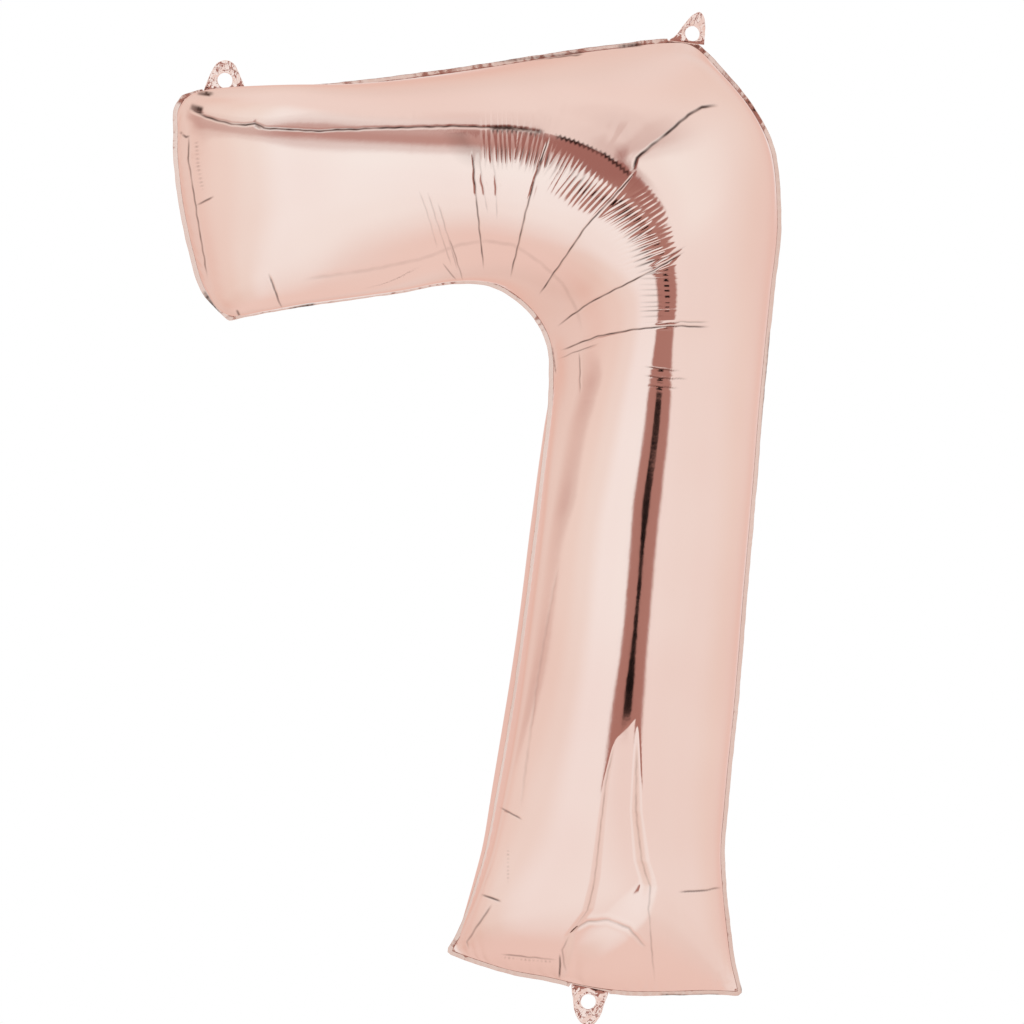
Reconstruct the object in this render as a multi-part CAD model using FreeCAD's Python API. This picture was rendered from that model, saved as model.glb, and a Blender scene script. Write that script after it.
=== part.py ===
import FreeCAD, Part
import math
import os

# Rose-gold foil balloon in the shape of the figure 7, drawn inflated.
# Millimetres. X runs along the bar towards the outer corner, Z is up, -Y is the front.
# The weld seam lies in the plane y = 0. The origin is the middle of the hanging hole
# in the bottom tail. Two mirrored foil panels meet at the seam; a flat welded margin
# runs all round it; three flat tabs hinge on the seam; two valve films sit inside the leg.

# ---------------------------------------------------------------- driving dimensions
WALL = 0.8              # solid stand-in for the foil skin of each panel (real film is about 0.03)
RIM_LAND = 3.5          # width over which the two panels lie together in the seam plane
MARGIN_WIDTH = 4.0      # flat welded margin outside the seam
PLY = 0.3               # thickness of one ply of margin or tab (stand-in)
HOLE_R = 6.5            # hanging hole radius in every tab
HINGE_GAP_IN = 0.3      # margin stops this far inside a tab hinge line
HINGE_GAP_OUT = 0.7     # tab starts this far outside its hinge line
TAB_SIDE_GAP = 1.0      # clear width between a tab root and the margin beside it
CORNER_STEP = 0.35      # the margin starts this far outside the seam line

VALVE_LENGTH = 110.0    # self-closing valve, measured up the leg from the tail seam
VALVE_NECK_W = 22.0     # width where the valve is welded at the seam
VALVE_FLARE_W = 34.0    # width at its free end
VALVE_FILM = 0.25       # film thickness (stand-in)
VALVE_HALF_GAP = 0.3    # from the seam plane to the inside face of each film
VALVE_ROOT = 9.0        # root of the films, measured inwards from the tail hinge line

# Cross-sections of the front panel, from the free end of the bar (first row), round the
# corner, to the foot of the leg (last row). Each row runs from the inner seam to the
# outer seam as (x, z, depth in front of the seam plane).
SECTIONS = [
    [(-312.6, 596.1, 0.0), (-333.5, 618.1, 0.0), (-343.4, 648.3, 0.0), (-350.2, 677.7, 0.0), (-354.9, 706.6, 0.0),
     (-357.5, 734.1, 0.0), (-357.6, 755.1, 0.0), (-357.6, 771.3, 0.0), (-351.5, 782.4, 0.0)],
    [(-290.6, 600.9, 0.0), (-316.7, 603.1, 13.8), (-329.9, 636.2, 22.1), (-338.1, 671.2, 24.0), (-343.6, 705.1, 24.0),
     (-346.0, 736.7, 23.0), (-346.2, 763.0, 21.3), (-342.4, 783.3, 15.2), (-334.1, 787.6, 0.0)],
    [(-265.8, 605.6, 0.0), (-285.9, 601.6, 19.9), (-299.6, 626.1, 39.2), (-308.0, 664.4, 47.0), (-312.6, 703.4, 50.7),
     (-313.4, 741.2, 51.1), (-308.3, 773.1, 43.6), (-298.1, 790.3, 24.1), (-284.8, 790.3, 0.0)],
    [(-233.7, 610.8, 0.0), (-249.1, 608.2, 22.5), (-259.7, 624.3, 48.1), (-266.7, 662.5, 62.5), (-269.5, 703.4, 70.3),
     (-267.4, 744.3, 69.5), (-259.3, 777.0, 55.6), (-248.8, 792.3, 29.1), (-235.4, 793.0, 0.0)],
    [(-195.2, 616.3, 0.0), (-206.9, 614.2, 25.9), (-215.4, 630.0, 52.6), (-221.5, 665.4, 70.9), (-224.4, 705.3, 81.0),
     (-222.4, 746.0, 77.9), (-215.6, 777.2, 59.1), (-207.9, 793.4, 30.0), (-198.2, 797.0, 0.0)],
    [(-160.0, 621.8, 0.0), (-166.4, 620.2, 26.5), (-171.6, 637.3, 53.8), (-175.5, 669.4, 76.5), (-176.9, 708.3, 88.6),
     (-173.9, 748.5, 83.3), (-167.7, 778.9, 61.6), (-161.5, 796.3, 31.6), (-155.7, 802.9, 0.0)],
    [(-129.4, 627.8, 0.0), (-129.0, 627.4, 27.4), (-129.4, 643.4, 57.9), (-129.4, 673.3, 84.2), (-125.9, 711.9, 96.2),
     (-118.8, 751.5, 88.0), (-110.8, 781.7, 64.7), (-105.7, 801.0, 33.8), (-104.7, 810.6, 0.0)],
    [(-98.9, 629.2, 0.0), (-94.3, 628.5, 30.4), (-90.2, 643.9, 64.8), (-82.1, 673.6, 93.3), (-69.2, 713.0, 103.7),
     (-55.6, 752.4, 93.0), (-44.7, 783.8, 68.3), (-39.5, 806.7, 35.9), (-38.8, 821.9, 0.0)],
    [(-72.6, 621.5, 0.0), (-65.5, 622.9, 33.9), (-53.5, 638.1, 72.6), (-34.1, 669.5, 102.2), (-11.3, 710.0, 109.4),
     (8.2, 750.0, 95.7), (22.0, 783.7, 69.3), (29.4, 811.2, 36.1), (34.7, 832.8, 0.0)],
    [(-49.0, 602.8, 0.0), (-40.9, 608.2, 33.7), (-23.8, 623.1, 75.0), (2.8, 654.3, 105.4), (32.6, 694.9, 110.5),
     (57.5, 736.0, 95.1), (75.7, 772.8, 68.5), (87.4, 805.3, 36.8), (93.3, 834.2, 0.0)],
    [(-34.3, 578.4, 0.0), (-28.8, 586.1, 26.3), (-11.5, 596.9, 66.2), (18.4, 619.8, 99.8), (54.0, 653.8, 109.6),
     (86.4, 690.9, 97.3), (113.8, 725.5, 73.3), (135.1, 756.6, 42.9), (145.3, 778.2, 0.0)],
    [(-30.7, 547.3, 0.0), (-27.5, 557.4, 17.8), (-17.5, 566.0, 51.1), (9.7, 578.3, 86.7), (47.8, 601.1, 104.6),
     (86.2, 631.0, 98.5), (120.4, 659.7, 75.0), (148.4, 685.5, 42.0), (167.0, 707.2, 0.0)],
    [(-32.6, 508.0, 0.0), (-32.1, 517.8, 20.1), (-24.6, 527.1, 45.9), (-2.9, 536.5, 76.2), (32.7, 549.3, 96.1),
     (73.4, 569.4, 95.9), (111.7, 591.7, 75.6), (142.3, 612.7, 41.9), (162.8, 630.2, 0.0)],
    [(-37.8, 463.0, 0.0), (-37.3, 471.0, 21.3), (-32.2, 479.6, 47.2), (-11.2, 487.4, 73.0), (22.6, 496.8, 90.9),
     (63.2, 510.1, 92.4), (103.4, 526.1, 74.6), (135.3, 542.7, 41.6), (155.0, 555.8, 0.0)],
    [(-42.3, 421.9, 0.0), (-41.9, 429.3, 21.8), (-38.9, 438.2, 47.1), (-18.2, 445.3, 70.9), (14.7, 452.7, 87.6),
     (55.3, 463.0, 89.9), (96.8, 475.8, 73.9), (130.1, 490.3, 41.3), (150.0, 502.7, 0.0)],
    [(-47.1, 382.5, 0.0), (-46.5, 390.2, 22.3), (-44.2, 400.0, 48.0), (-22.8, 407.7, 71.1), (10.3, 415.3, 86.4),
     (50.7, 425.5, 88.2), (92.8, 437.7, 72.9), (127.0, 451.8, 41.0), (147.2, 466.5, 0.0)],
    [(-52.2, 342.8, 0.0), (-51.8, 348.8, 22.6), (-48.7, 356.5, 48.9), (-26.1, 362.2, 72.0), (7.8, 368.2, 86.6),
     (48.2, 376.9, 87.6), (89.6, 387.5, 71.9), (123.3, 399.7, 40.5), (142.6, 412.6, 0.0)],
    [(-57.5, 302.9, 0.0), (-57.5, 305.7, 22.8), (-54.7, 309.8, 49.5), (-31.0, 312.1, 72.6), (3.8, 314.9, 87.2),
     (44.5, 321.2, 87.6), (85.4, 329.6, 71.3), (118.4, 339.1, 39.9), (136.8, 348.0, 0.0)],
    [(-63.3, 262.9, 0.0), (-63.6, 263.7, 22.9), (-62.4, 265.8, 49.6), (-37.4, 265.9, 72.3), (-1.6, 266.9, 86.6),
     (39.7, 272.0, 87.2), (81.1, 279.9, 70.7), (114.0, 288.7, 39.3), (132.8, 297.5, 0.0)],
    [(-70.1, 221.6, 0.0), (-70.6, 221.1, 22.6), (-70.2, 221.8, 49.0), (-43.4, 220.4, 70.3), (-6.7, 220.2, 83.9),
     (35.0, 224.6, 85.2), (76.7, 232.7, 69.6), (109.7, 241.8, 38.5), (128.6, 250.7, 0.0)],
    [(-77.2, 181.7, 0.0), (-77.9, 180.2, 21.5), (-76.3, 179.2, 46.5), (-47.6, 176.3, 65.7), (-10.5, 175.0, 77.8),
     (30.7, 178.6, 79.9), (72.3, 186.5, 66.5), (105.2, 196.1, 37.1), (123.7, 205.1, 0.0)],
    [(-83.4, 147.8, 0.0), (-84.5, 144.4, 19.6), (-80.2, 141.4, 42.4), (-49.6, 136.9, 58.8), (-12.1, 134.1, 69.0),
     (28.1, 136.5, 71.8), (69.0, 143.9, 61.5), (101.6, 153.5, 34.7), (119.7, 162.1, 0.0)],
    [(-92.3, 113.1, 0.0), (-94.5, 107.4, 18.8), (-83.6, 102.2, 38.4), (-50.3, 96.2, 50.5), (-12.1, 92.0, 57.7),
     (26.8, 92.8, 61.3), (66.9, 99.6, 56.5), (100.4, 110.3, 33.8), (117.4, 119.6, 0.0)],
    [(-104.9, 76.8, 0.0), (-105.1, 69.6, 16.5), (-79.1, 59.9, 26.7), (-45.0, 52.7, 32.1), (-8.3, 46.7, 35.0),
     (28.2, 45.1, 36.7), (65.3, 48.0, 37.0), (101.4, 56.0, 26.6), (122.6, 60.9, 0.0)],
    [(-119.9, 46.2, 0.0), (-97.7, 38.1, 0.0), (-69.8, 29.0, 0.0), (-35.8, 22.2, 0.0), (-0.4, 13.6, 0.0),
     (33.4, 8.9, 0.0), (68.7, 8.0, 0.0), (104.4, 8.4, 0.0), (132.7, 6.8, 0.0)],
]

# Tabs: hinge centre (x, z), hinge direction in degrees from +X, outward side (+1 up, -1 down),
# outline and hole centre in local (along hinge, outward) millimetres.
TABS = {
    "tab_left": dict(centre=(-317.2, 790.9), angle=4.2, side=1, hole=(0.81, 8.07),
        outline=[(-18.2, 0.7), (-16.4, 4.5), (-13.9, 9.6), (-9.8, 17.1), (-4.9, 23.3), (2.3, 25.3),
                 (9.1, 22.3), (12.5, 15.5), (15.5, 7.4), (17.5, 0.7)]),
    "tab_right": dict(centre=(85.6, 838.2), angle=-6.0, side=1, hole=(5.75, 8.25),
        outline=[(-14.0, 0.7), (-10.4, 3.4), (-7.0, 7.6), (-4.1, 12.6), (-1.1, 17.4), (2.3, 22.4),
                 (5.9, 25.9), (10.1, 27.8), (14.0, 24.6), (16.4, 15.4), (16.8, 6.8), (17.2, 0.7)]),
    "tail": dict(centre=(1.6, 12.0), angle=-12.9, side=-1, hole=(1.12, 12.05),
        outline=[(-17.0, 0.7), (-15.9, 4.4), (-12.8, 12.7), (-9.4, 21.7), (-4.6, 28.6), (0.7, 32.3),
                 (5.8, 32.5), (10.1, 30.2), (13.3, 24.5), (15.2, 12.4), (16.9, 0.7)]),
}

os.makedirs("parts", exist_ok=True)


# ---------------------------------------------------------------- small vector helpers
def V(x, y, z):
    return FreeCAD.Vector(x, y, z)


def spline_edge(pts):
    c = Part.BSplineCurve()
    c.interpolate(pts)
    return c.toShape()


def grid_face(grid):
    s = Part.BSplineSurface()
    s.interpolate(grid)
    return s


# ---------------------------------------------------------------- the skin grids
NS = len(SECTIONS)
NT = len(SECTIONS[0])


def outer_grid(side):
    """side -1 is the front panel, +1 the back panel"""
    return [[V(p[0], side * (p[2] + PLY), p[1]) for p in row] for row in SECTIONS]


def inner_grid(side):
    """the same grid moved inwards by the wall, staying in the seam plane at the rim"""
    g = outer_grid(side)
    out = []
    for i in range(NS):
        row = []
        for j in range(NT):
            i0, i1 = max(i - 1, 0), min(i + 1, NS - 1)
            j0, j1 = max(j - 1, 0), min(j + 1, NT - 1)
            p = g[i][j]
            ds = g[i1][j] - g[i0][j]
            dt = g[i][j1] - g[i][j0]
            rim_s = i in (0, NS - 1)
            rim_t = j in (0, NT - 1)
            if rim_s or rim_t:
                m = V(0, 0, 0)
                if rim_s:                      # ends: inwards is along the sections
                    d = V(dt.z, 0, -dt.x)
                    d.normalize()
                    q = g[1][j] - g[0][j] if i == 0 else g[NS - 2][j] - g[NS - 1][j]
                    if d.dot(V(q.x, 0, q.z)) < 0:
                        d = d * -1
                    m = m + d
                if rim_t:                      # long seams
                    d = V(ds.z, 0, -ds.x)
                    d.normalize()
                    q = g[i][1] - g[i][0] if j == 0 else g[i][NT - 2] - g[i][NT - 1]
                    w = g[i][NT // 2] - p
                    if d.dot(V(w.x, 0, w.z)) < 0:
                        d = d * -1
                    m = m + d
                row.append(p + m * (RIM_LAND * (1.7 if rim_s and rim_t else 1.0)))
            else:
                n = ds.cross(dt)
                n.normalize()
                if n.y * side > 0:
                    n = n * -1
                row.append(p + n * WALL)
        out.append(row)
    return out


def iso_edges(f):
    """the four boundary curves of a face in order round the rim"""
    u0, u1, v0, v1 = f.bounds()
    return [c.toShape() for c in (f.uIso(u0), f.vIso(v1), f.uIso(u1), f.vIso(v0))]


def panel(side):
    """outer skin, inner skin, and a flat land in the seam plane joined to both by a ply-thick step"""
    so = grid_face(outer_grid(side))
    si = grid_face(inner_grid(side))
    drop = V(0, -side * PLY, 0)
    faces = [so.toShape(), si.toShape()]
    rims = []
    for f in (so, si):
        edges = iso_edges(f)
        faces += [e.extrude(drop) for e in edges]
        low = []
        for e in edges:
            e = e.copy()
            e.translate(drop)
            low.append(e)
        rims.append(Part.Wire(Part.__sortEdges__(low)))
    land = Part.Face([rims[0], rims[1]])
    if not land.isValid():
        land.fix(1e-4, 1e-4, 1e-3)
    shell = Part.makeShell(faces + [land])
    shell.sewShape()
    solid = Part.makeSolid(shell)
    if not solid.isValid():
        solid.fix(1e-4, 1e-4, 1e-3)
    if solid.Volume < 0:
        solid.reverse()
    return solid


# ---------------------------------------------------------------- the seam line and the margin
def seam_sides():
    inner = [(r[0][0], r[0][1]) for r in SECTIONS]
    outer = [(r[-1][0], r[-1][1]) for r in SECTIONS]
    free_end = [(p[0], p[1]) for p in SECTIONS[0]]
    foot = [(p[0], p[1]) for p in SECTIONS[-1]]
    # counter-clockwise loop seen from the front: foot, outer edge upwards, free end, inner edge
    return [foot, outer[::-1], free_end[::-1], inner]


def offset_sides(d):
    """the four seam curves moved outwards by d, mitred at the corners, as point lists"""
    sides = seam_sides()
    normals = []
    for pts in sides:
        ns = []
        for k in range(len(pts)):
            a, b = pts[max(k - 1, 0)], pts[min(k + 1, len(pts) - 1)]
            tx, tz = b[0] - a[0], b[1] - a[1]
            l = math.hypot(tx, tz)
            ns.append((tz / l, -tx / l))
        normals.append(ns)
    out = []
    for k, pts in enumerate(sides):
        q = [(p[0] + d * n[0], p[1] + d * n[1]) for p, n in zip(pts, normals[k])]
        for end, other, oi in ((0, (k - 1) % 4, -1), (-1, (k + 1) % 4, 0)):
            n1, n2 = normals[k][end], normals[other][oi]
            s = 1.0 + n1[0] * n2[0] + n1[1] * n2[1]
            s = max(s, 0.45)
            q[end] = (pts[end][0] + d * (n1[0] + n2[0]) / s, pts[end][1] + d * (n1[1] + n2[1]) / s)
        out.append(q)
    return out


def loop_wire(d, y):
    return Part.Wire([spline_edge([V(p[0], y, p[1]) for p in q]) for q in offset_sides(d)])


def tab_vectors(t):
    a = math.radians(t["angle"])
    u = V(math.cos(a), 0, math.sin(a))
    v = V(-u.z, 0, u.x) * t["side"]
    return V(t["centre"][0], 0, t["centre"][1]), u, v


def notch(t):
    """the piece of margin that a tab replaces"""
    c, u, v = tab_vectors(t)
    us = [p[0] for p in t["outline"]]
    lo, hi = min(us[0], us[-1]) - TAB_SIDE_GAP, max(us[0], us[-1]) + TAB_SIDE_GAP
    pts = [c + u * a + v * b for a, b in ((lo, -HINGE_GAP_IN), (hi, -HINGE_GAP_IN), (hi, 30), (lo, 30))]
    pts = [V(p.x, -5, p.z) for p in pts]
    return Part.Face(Part.makePolygon(pts + [pts[0]])).extrude(V(0, 10, 0))


def margin(side):
    y0 = -PLY if side < 0 else 0.0
    ring = Part.Face([loop_wire(MARGIN_WIDTH, y0), loop_wire(CORNER_STEP, y0)])
    if not ring.isValid():
        ring.fix(1e-4, 1e-4, 1e-3)
    solid = ring.extrude(V(0, PLY, 0))
    for t in TABS.values():
        solid = solid.cut(notch(t))
    # keep only the ring itself if the trimming left crumbs at a tab
    parts = sorted(solid.Solids, key=lambda s: -s.Volume)
    return parts[0]


def tab_ply(t, side):
    c, u, v = tab_vectors(t)
    y0 = -PLY if side < 0 else 0.0
    pts = [c + u * a + v * b for a, b in t["outline"]]
    pts = [V(p.x, y0, p.z) for p in pts]
    top = spline_edge(pts)
    root = Part.makeLine(pts[-1], pts[0])
    face = Part.Face(Part.Wire([top, root]))
    solid = face.extrude(V(0, PLY, 0))
    h = c + u * t["hole"][0] + v * t["hole"][1]
    return solid.cut(Part.makeCylinder(HOLE_R, 10, V(h.x, -5, h.z), V(0, 1, 0)))


def valve_film(side):
    t = TABS["tail"]
    c, u, v = tab_vectors(t)
    y = side * (VALVE_HALF_GAP + (VALVE_FILM if side < 0 else 0.0))
    up = v * -1
    n, f, L = VALVE_NECK_W / 2, VALVE_FLARE_W / 2, VALVE_LENGTH
    outline = [(-n, 0), (n, 0), (n, 0.18 * L), (f, 0.42 * L), (f, L), (-f, L), (-f, 0.42 * L), (-n, 0.18 * L)]
    pts = [c + u * a + up * (VALVE_ROOT + b) for a, b in outline]
    pts = [V(p.x, y, p.z) for p in pts]
    return Part.Face(Part.makePolygon(pts + [pts[0]])).extrude(V(0, VALVE_FILM, 0))


# ---------------------------------------------------------------- write every solid
def save(name, shape):
    if shape.ShapeType != "Solid":
        shape = shape.Solids[0]
    if shape.Volume < 0:
        shape.reverse()
    print(name, "valid", shape.isValid(), "volume %.1f" % shape.Volume)
    shape.exportStep("parts/%s.step" % name)


save("front_panel", panel(-1))
save("back_panel", panel(1))
save("front_weld_margin", margin(-1))
save("back_weld_margin", margin(1))
for name, t in TABS.items():
    save(name + "_front_ply", tab_ply(t, -1))
    save(name + "_back_ply", tab_ply(t, 1))
save("valve_front_film", valve_film(-1))
save("valve_back_film", valve_film(1))
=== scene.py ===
import math

import bpy
import numpy as np
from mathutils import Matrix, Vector


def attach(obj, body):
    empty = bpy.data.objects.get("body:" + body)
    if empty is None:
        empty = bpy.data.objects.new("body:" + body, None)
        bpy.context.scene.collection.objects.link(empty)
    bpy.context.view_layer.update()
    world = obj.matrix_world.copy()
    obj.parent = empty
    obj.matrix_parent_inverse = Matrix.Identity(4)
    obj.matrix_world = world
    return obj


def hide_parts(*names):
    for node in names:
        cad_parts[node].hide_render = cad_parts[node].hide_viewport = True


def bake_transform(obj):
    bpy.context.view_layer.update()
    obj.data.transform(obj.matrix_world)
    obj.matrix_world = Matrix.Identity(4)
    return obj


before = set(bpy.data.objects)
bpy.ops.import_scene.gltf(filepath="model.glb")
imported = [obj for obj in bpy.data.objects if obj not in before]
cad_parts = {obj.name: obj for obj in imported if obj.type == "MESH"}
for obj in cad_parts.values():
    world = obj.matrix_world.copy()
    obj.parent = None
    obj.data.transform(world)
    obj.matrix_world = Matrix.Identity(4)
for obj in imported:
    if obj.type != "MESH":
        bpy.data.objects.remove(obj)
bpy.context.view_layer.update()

MM = 0.001
YAW = math.radians(8.0)          # the camera stands this far round towards -X
DIST = 3.6                       # metres from the seam plane

# ------------------------------------------------------------------ the camera
scene = bpy.context.scene
AIM = np.array([-67.3, 0.0, 427.1]) * MM
BACK = np.array([-math.sin(YAW), -math.cos(YAW), 0.0])
CAM = AIM + BACK * DIST


def seen(p):
    """where the line of sight through each point (mm) meets the seam plane, in mm: (x, z)"""
    c = CAM / MM
    k = c[1] / (c[1] - p[..., 1])
    return np.stack([c[0] + (p[..., 0] - c[0]) * k, c[2] + (p[..., 2] - c[2]) * k], -1)


# ------------------------------------------------------------------ the inflated skin
# Seam line of the inflated balloon in mm (x, z), by station: inner edge, outer edge, the
# free end of the bar and the foot of the leg.
INNER = [
    (0.0000, -312.6, 596.1), (0.0208, -302.1, 598.6), (0.0417, -290.6, 600.9), (0.0625, -278.8, 603.3),
    (0.0833, -265.8, 605.6), (0.1042, -251.0, 608.2), (0.1250, -233.7, 610.8), (0.1458, -214.7, 613.5),
    (0.1667, -195.2, 616.3), (0.1875, -176.6, 619.1), (0.2083, -160.0, 621.8), (0.2292, -144.6, 625.0),
    (0.2500, -129.4, 627.8), (0.2708, -114.2, 629.1), (0.2917, -98.9, 629.2), (0.3125, -84.9, 626.7),
    (0.3333, -72.6, 621.5), (0.3542, -60.4, 613.4), (0.3750, -49.0, 602.8), (0.3958, -40.4, 591.3),
    (0.4167, -34.3, 578.4), (0.4375, -31.2, 563.5), (0.4583, -30.7, 547.3), (0.4792, -31.0, 529.2),
    (0.5000, -32.6, 508.0), (0.5208, -35.1, 485.4), (0.5417, -37.8, 463.0), (0.5625, -40.1, 442.1),
    (0.5833, -42.3, 421.9), (0.6042, -44.7, 402.1), (0.6250, -47.1, 382.5), (0.6458, -49.6, 362.7),
    (0.6667, -52.2, 342.8), (0.6875, -54.8, 322.9), (0.7083, -57.5, 302.9), (0.7292, -60.3, 282.9),
    (0.7500, -63.3, 262.9), (0.7708, -66.6, 242.4), (0.7917, -70.1, 221.6), (0.8125, -73.7, 201.1),
    (0.8333, -77.2, 181.7), (0.8542, -80.4, 164.1), (0.8750, -83.4, 147.8), (0.8958, -87.1, 131.1),
    (0.9167, -92.3, 113.1), (0.9375, -98.3, 94.6), (0.9583, -104.9, 76.8), (0.9792, -111.9, 60.1),
    (1.0000, -119.9, 46.2),
]
OUTER = [
    (0.0000, -351.5, 782.4), (0.0208, -343.7, 784.9), (0.0417, -334.1, 787.6), (0.0625, -314.1, 789.4),
    (0.0833, -284.8, 790.3), (0.1042, -257.2, 791.4), (0.1250, -235.4, 793.0), (0.1458, -216.4, 794.8),
    (0.1667, -198.2, 797.0), (0.1875, -178.6, 799.7), (0.2083, -155.7, 802.9), (0.2292, -131.4, 806.4),
    (0.2500, -104.7, 810.6), (0.2708, -73.5, 815.8), (0.2917, -38.7, 821.9), (0.3125, -2.4, 827.7),
    (0.3333, 34.6, 832.8), (0.3542, 66.9, 836.9), (0.3750, 93.3, 834.2), (0.3958, 120.4, 808.1),
    (0.4167, 145.3, 778.1), (0.4375, 161.8, 745.4), (0.4583, 167.0, 707.3), (0.4792, 167.3, 668.7),
    (0.5000, 162.8, 630.2), (0.5208, 158.7, 592.3), (0.5417, 155.0, 555.7), (0.5625, 152.0, 525.0),
    (0.5833, 150.0, 502.7), (0.6042, 148.6, 484.7), (0.6250, 147.2, 466.5), (0.6458, 145.3, 443.5),
    (0.6667, 142.6, 412.5), (0.6875, 139.5, 378.6), (0.7083, 136.8, 348.0), (0.7292, 134.7, 321.6),
    (0.7500, 132.8, 297.5), (0.7708, 130.8, 274.2), (0.7917, 128.6, 250.7), (0.8125, 126.2, 227.7),
    (0.8333, 123.7, 205.1), (0.8542, 121.6, 183.0), (0.8750, 119.7, 162.1), (0.8958, 117.9, 142.3),
    (0.9167, 117.4, 119.6), (0.9375, 119.4, 91.3), (0.9583, 122.6, 60.9), (0.9792, 126.5, 32.5),
    (1.0000, 132.7, 6.8),
]
FREE = [
    (-1.0000, -312.6, 596.1), (-0.7500, -333.5, 618.1), (-0.5000, -343.4, 648.3), (-0.2500, -350.2, 677.7),
    (0.0000, -354.9, 706.6), (0.2500, -357.5, 734.1), (0.5000, -357.6, 755.1), (0.7500, -357.6, 771.3),
    (1.0000, -351.5, 782.4),
]
FOOT = [
    (-1.0000, -119.9, 46.2), (-0.7500, -97.7, 38.1), (-0.5000, -69.8, 29.0), (-0.2500, -35.8, 22.2),
    (0.0000, -0.4, 13.6), (0.2500, 33.4, 8.9), (0.5000, 68.7, 8.0), (0.7500, 104.4, 8.4),
    (1.0000, 132.7, 6.8),
]
NS, NT = 97, 33
CROWN = [(0, 0), (0.12, 8), (0.22, 25), (0.30, 45), (0.36, 54), (0.42, 39), (0.44, 28), (0.47, 14), (0.50, 4),
         (0.53, 0), (0.56, -4), (0.60, -8), (0.70, -7), (0.78, -10), (0.87, -9), (1, 0)]


def curve_at(tab, s):
    a = np.array([t[0] for t in tab], float)
    p = np.array([t[1:] for t in tab], float)
    h = np.diff(a)
    d = np.diff(p, axis=0) / h[:, None]
    m = np.zeros_like(p)
    m[1:-1] = (d[:-1] * h[1:, None] + d[1:] * h[:-1, None]) / (h[:-1] + h[1:])[:, None]
    m[0], m[-1] = d[0], d[-1]
    k = np.clip(np.searchsorted(a, s, side="right") - 1, 0, len(a) - 2)
    u = ((s - a[k]) / h[k])[:, None]
    hh = h[k][:, None]
    return ((2 * u**3 - 3 * u**2 + 1) * p[k] + (u**3 - 2 * u**2 + u) * hh * m[k]
            + (-2 * u**3 + 3 * u**2) * p[k + 1] + (u**3 - u**2) * hh * m[k + 1])


def coons(c, d, a, b):
    s = np.linspace(0, 1, len(c))[:, None, None]
    t = np.linspace(0, 1, len(a))[None, :, None]
    return ((1 - t) * c[:, None] + t * d[:, None] + (1 - s) * a[None] + s * b[None]
            - ((1 - s) * (1 - t) * c[0] + s * (1 - t) * c[-1] + (1 - s) * t * d[0] + s * t * d[-1]))


def lift(g):
    return np.stack([g[..., 0], g[..., 0] * 0, g[..., 1]], -1)


def edge_lengths(f):
    return dict(s=np.linalg.norm(f[1:] - f[:-1], axis=-1), t=np.linalg.norm(f[:, 1:] - f[:, :-1], axis=-1),
                p=np.linalg.norm(f[1:, 1:] - f[:-1, :-1], axis=-1),
                q=np.linalg.norm(f[1:, :-1] - f[:-1, 1:], axis=-1))


def inflate(flat, x, seam, held, steps, iters, p, damp, bend):
    """blows the film up: pressure against edges that can shorten (wrinkle) but not stretch"""
    ls, lg = edge_lengths(flat), edge_lengths(held)
    ls = {k: np.maximum(v, 1.004 * lg[k]) for k, v in ls.items()}
    ns, nt = flat.shape[:2]
    sl = []
    for o in (0, 1):
        sl.append(((slice(o, ns - 1, 2), slice(None)), (slice(o + 1, ns, 2), slice(None)), ls["s"][o::2]))
        sl.append(((slice(None), slice(o, nt - 1, 2)), (slice(None), slice(o + 1, nt, 2)), ls["t"][:, o::2]))
    for o in (0, 1):
        sl.append(((slice(o, ns - 1, 2), slice(0, nt - 1)), (slice(o + 1, ns, 2), slice(1, nt)), ls["p"][o::2]))
        sl.append(((slice(o, ns - 1, 2), slice(1, nt)), (slice(o + 1, ns, 2), slice(0, nt - 1)), ls["q"][o::2]))
    sign = -np.sign(np.cross(x[1:, 1:] - x[:-1, :-1], x[1:, :-1] - x[:-1, 1:])[..., 1].sum())
    u, v = (flat[1:, 1:] - flat[:-1, :-1])[..., [0, 2]], (flat[1:, :-1] - flat[:-1, 1:])[..., [0, 2]]
    cell = 0.5 * np.abs(u[..., 0] * v[..., 1] - u[..., 1] * v[..., 0])
    area = np.zeros((ns, nt))
    corners = [(slice(i, ns - 1 + i), slice(j, nt - 1 + j)) for i in (0, 1) for j in (0, 1)]
    for c in corners:
        area[c] += cell / 4
    before = x.copy()
    for _ in range(steps):
        n = sign * 0.5 * np.cross(x[1:, 1:] - x[:-1, :-1], x[1:, :-1] - x[:-1, 1:])
        f = np.zeros_like(x)
        for c in corners:
            f[c] += n / 4
        vel = (x - before) * damp
        before = x.copy()
        x = x + vel + p * f / area[..., None]
        for _ in range(iters):
            for a, b, l in sl:
                pa, pb = x[a], x[b]
                d = pb - pa
                ln = np.sqrt((d * d).sum(-1))
                e = np.maximum((ln - l) / np.maximum(ln, 1e-9), 0.0)[..., None]
                x[a] = pa + 0.5 * e * d
                x[b] = pb - 0.5 * e * d
            x[0], x[-1], x[:, 0], x[:, -1] = seam
            np.minimum(x[..., 1], 0, out=x[..., 1])
        y = x.copy()
        y[1:-1, 1:-1] += bend * (x[2:, 1:-1] + x[:-2, 1:-1] + x[1:-1, 2:] + x[1:-1, :-2] - 4 * x[1:-1, 1:-1])
        before += y - x
        x = y
    return x


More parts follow.
